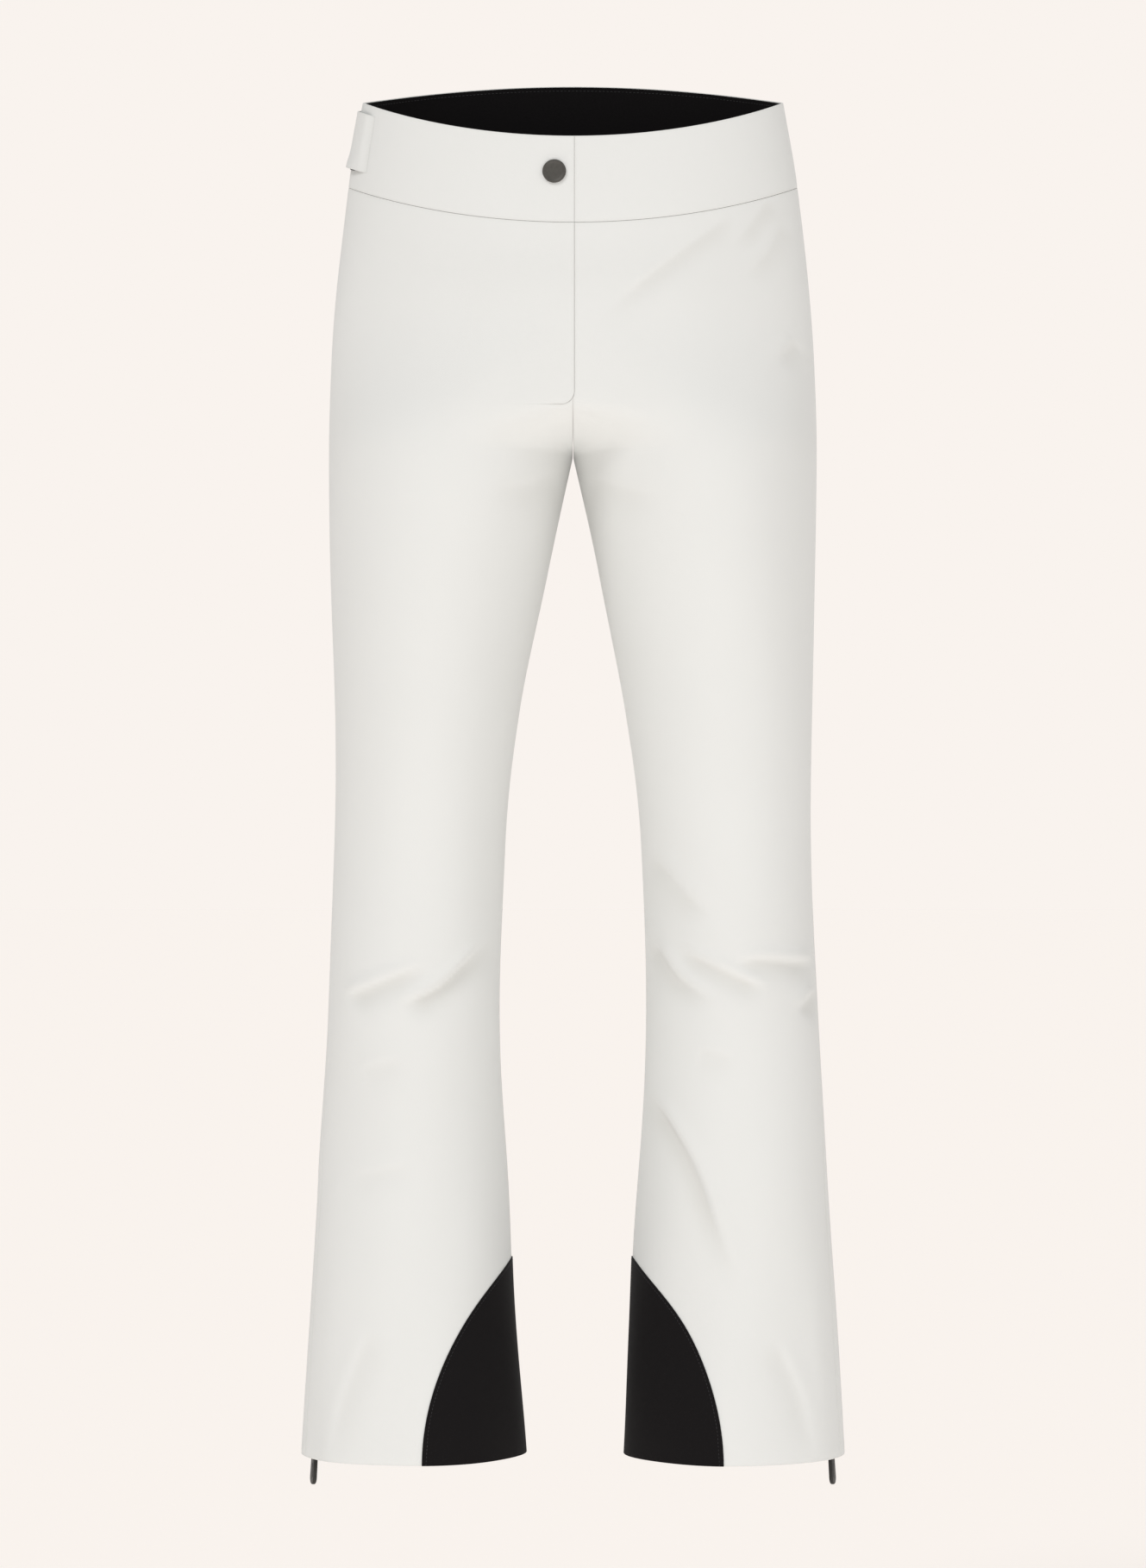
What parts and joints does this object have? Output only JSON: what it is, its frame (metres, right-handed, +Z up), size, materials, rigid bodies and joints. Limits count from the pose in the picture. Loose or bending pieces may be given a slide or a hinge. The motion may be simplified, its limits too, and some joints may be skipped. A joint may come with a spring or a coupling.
{
  "type": "ski pants",
  "caption": "Flared off-white ski pants with a wide waistband, snap and concealed fly, side adjuster tabs, black ankle guards and zipped hems over inner snow gaiters.",
  "frame": {"origin": "centre of the waist opening, level with the waist edge at the side seams", "axes": "+Z up the garment, -Y out of the front, +X to the wearer's left"},
  "size_m": [0.4164, 0.2324, 1.0795],
  "materials": {
    "shell_fabric": "matt off-white stretch softshell",
    "black_fabric": "matt black tightly woven cloth",
    "lining_fabric": "fine dark lining cloth",
    "zip_tape_light": "woven off-white zip tape",
    "zip_tape_dark": "woven black zip tape",
    "elastic": "ribbed elastic webbing",
    "hook_and_loop": "hook and loop tape",
    "snap_metal": "dark grey lacquered metal, satin",
    "zip_metal": "dark lacquered metal",
    "puller_metal": "dark lacquered metal, satin"
  },
  "bodies": {
    "pants_body": {"ankle_guard_left": "black_fabric", "ankle_guard_right": "black_fabric", "back_panel_left": "shell_fabric", "back_panel_right": "shell_fabric", "fly_shield": "lining_fabric", "fly_zip_bottom_stop": "zip_metal", "fly_zip_tape_left": "zip_tape_light", "fly_zip_tape_right": "zip_tape_light", "front_panel_left": "shell_fabric", "front_panel_right": "shell_fabric", "gaiter_elastic_left": "elastic", "gaiter_elastic_right": "elastic", "hem_zip_tape_back_left": "zip_tape_dark", "hem_zip_tape_back_right": "zip_tape_dark", "hem_zip_tape_front_left": "zip_tape_dark", "hem_zip_tape_front_right": "zip_tape_dark", "hem_zip_top_stop_left": "zip_metal", "hem_zip_top_stop_right": "zip_metal", "lining_back_left": "lining_fabric", "lining_back_right": "lining_fabric", "lining_front_left": "lining_fabric", "lining_front_right": "lining_fabric", "snap_stud": "snap_metal", "snap_stud_back": "snap_metal", "snow_gaiter_left": "lining_fabric", "snow_gaiter_right": "lining_fabric", "tab_loop_patch_left": "hook_and_loop", "tab_loop_patch_right": "hook_and_loop", "waistband_back": "shell_fabric", "waistband_front_left": "shell_fabric", "waistband_front_right": "shell_fabric", "waistband_lining_back": "black_fabric", "waistband_lining_front_left": "black_fabric", "waistband_lining_front_right": "black_fabric", "waistband_underlap": "black_fabric"},
    "fly_flap": {"fly_flap": "shell_fabric", "fly_flap_facing": "lining_fabric", "waistband_overlap": "shell_fabric", "waistband_overlap_lining": "black_fabric", "snap_cap": "snap_metal", "snap_socket": "snap_metal"},
    "waist_tab_right": {"waist_tab_right": "shell_fabric", "tab_hook_patch_right": "hook_and_loop"},
    "waist_tab_left": {"waist_tab_left": "shell_fabric", "tab_hook_patch_left": "hook_and_loop"},
    "fly_zip_slider": {"fly_zip_slider": "zip_metal", "fly_zip_puller": "zip_metal"},
    "hem_zip_slider_right": {"hem_zip_slider_right": "zip_metal"},
    "hem_zip_slider_left": {"hem_zip_slider_left": "zip_metal"},
    "hem_zip_puller_right": {"hem_zip_puller_right": "puller_metal"},
    "hem_zip_puller_left": {"hem_zip_puller_left": "puller_metal"}
  },
  "joints": [
    {"name": "fly_flap_fold", "type": "hinge", "parent": "pants_body", "child": "fly_flap", "pos_m": [-0.034, -0.09369, -0.0357], "axis": [0, -0.0686, -0.9976], "range_deg": [0, 110]},
    {"name": "waist_tab_right_lift", "type": "hinge", "parent": "pants_body", "child": "waist_tab_right", "pos_m": [-0.158, -0.0319, -0.03551], "axis": [0.1587, 0.0111, 0.9873], "range_deg": [0, 95]},
    {"name": "waist_tab_left_lift", "type": "hinge", "parent": "pants_body", "child": "waist_tab_left", "pos_m": [0.16521, 0.02288, -0.02557], "axis": [0.1728, 0.0406, -0.9841], "range_deg": [0, 95]},
    {"name": "fly_zip_slide", "type": "slide", "parent": "pants_body", "child": "fly_zip_slider", "axis": [-0.0026, -0.0622, -0.9981], "range_m": [0, 0.085]},
    {"name": "hem_zip_slide_right", "type": "slide", "parent": "pants_body", "child": "hem_zip_slider_right", "axis": [0.0615, 0.0092, 0.9981], "range_m": [0, 0.145]},
    {"name": "hem_zip_slide_left", "type": "slide", "parent": "pants_body", "child": "hem_zip_slider_left", "axis": [-0.0615, 0.0092, 0.9981], "range_m": [0, 0.145]},
    {"name": "hem_puller_swing_right", "type": "hinge", "parent": "hem_zip_slider_right", "child": "hem_zip_puller_right", "pos_m": [-0.19643, -0.01952, -1.02745], "axis": [0.2997, -0.954, -0.0097], "range_deg": [0, 40]},
    {"name": "hem_puller_swing_left", "type": "hinge", "parent": "hem_zip_slider_left", "child": "hem_zip_puller_left", "pos_m": [0.19643, -0.01952, -1.02745], "axis": [0.2997, 0.954, 0.0097], "range_deg": [0, 40]}
  ]
}
